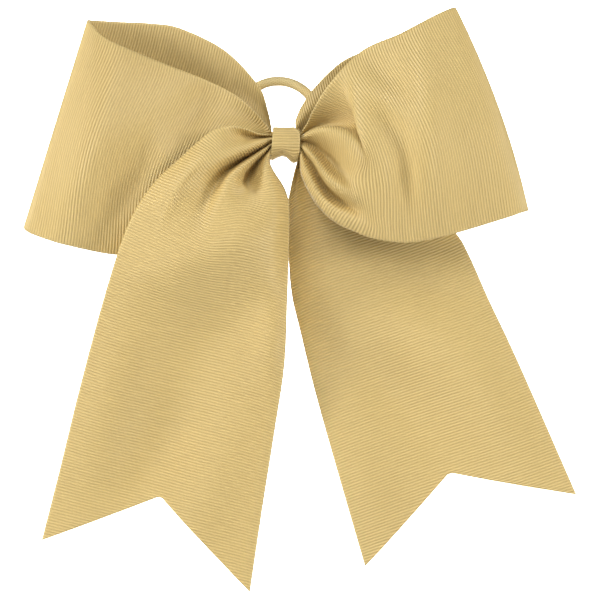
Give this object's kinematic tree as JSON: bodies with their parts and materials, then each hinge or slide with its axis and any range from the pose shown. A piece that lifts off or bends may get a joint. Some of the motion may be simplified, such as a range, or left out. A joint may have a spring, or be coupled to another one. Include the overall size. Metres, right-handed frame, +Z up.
{
  "type": "cheer hair bow",
  "caption": "Large gathered ribbon hair bow with loops, swallowtail tails, a narrow centre wrap and a round hair elastic behind the knot.",
  "frame": {"origin": "middle of the hole in the hair elastic, where the ponytail passes", "axes": "+Z up along the hanging bow's height, from the tails to the loops; +Y from the bow's front to its back, along the ponytail hole; +X to the right as seen from the front"},
  "size_m": [0.1938, 0.034, 0.2046],
  "materials": {
    "gold_grosgrain": "ribbed grosgrain with a soft sheen",
    "binding_thread": "spun thread",
    "hot_glue": "clouded hot-melt glue",
    "woven_sleeve": "braided polyester",
    "rubber_core": "matte",
    "crimped_ferrule": "crimped, satin"
  },
  "bodies": {
    "elastic": {"elastic_sleeve": "woven_sleeve", "elastic_core": "rubber_core", "elastic_ferrule": "crimped_ferrule"},
    "knot": {"center_wrap": "gold_grosgrain", "wrap_glue": "hot_glue", "gather_thread": "binding_thread", "ribbon_gather_front": "gold_grosgrain", "ribbon_gather_middle": "gold_grosgrain", "ribbon_gather_back": "gold_grosgrain", "left_tail_root": "gold_grosgrain", "right_tail_root": "gold_grosgrain"},
    "left_loop": {"left_loop_front": "gold_grosgrain", "left_loop_back": "gold_grosgrain"},
    "right_loop": {"right_loop_front": "gold_grosgrain", "right_loop_back": "gold_grosgrain"},
    "left_tail": {"left_tail": "gold_grosgrain"},
    "right_tail": {"right_tail": "gold_grosgrain"}
  },
  "joints": [
    {"name": "bow_swing", "type": "hinge", "parent": "elastic", "child": "knot", "pos_m": [0.0028, 0, -0.0111], "axis": [1, 0, 0], "range_deg": [-5, 150]},
    {"name": "left_tail_flap", "type": "hinge", "parent": "knot", "child": "left_tail", "pos_m": [-0.02708, -0.01885, -0.06295], "axis": [0.967, 0.0536, -0.2492], "range_deg": [-80, 25], "stiffness_Nm_per_rad": 0.001},
    {"name": "right_tail_flap", "type": "hinge", "parent": "knot", "child": "right_tail", "pos_m": [0.03779, -0.00331, -0.06352], "axis": [0.9485, 0.0238, 0.3158], "range_deg": [-25, 80], "stiffness_Nm_per_rad": 0.001},
    {"name": "left_loop_flex", "type": "hinge", "parent": "knot", "child": "left_loop", "pos_m": [-0.0092, -0.00535, -0.0111], "axis": [0, 0, -1], "range_deg": [0, 12], "stiffness_Nm_per_rad": 0.004},
    {"name": "right_loop_flex", "type": "hinge", "parent": "knot", "child": "right_loop", "pos_m": [0.0108, -0.0175, -0.0111], "axis": [0, 0, -1], "range_deg": [0, 20], "stiffness_Nm_per_rad": 0.004}
  ]
}
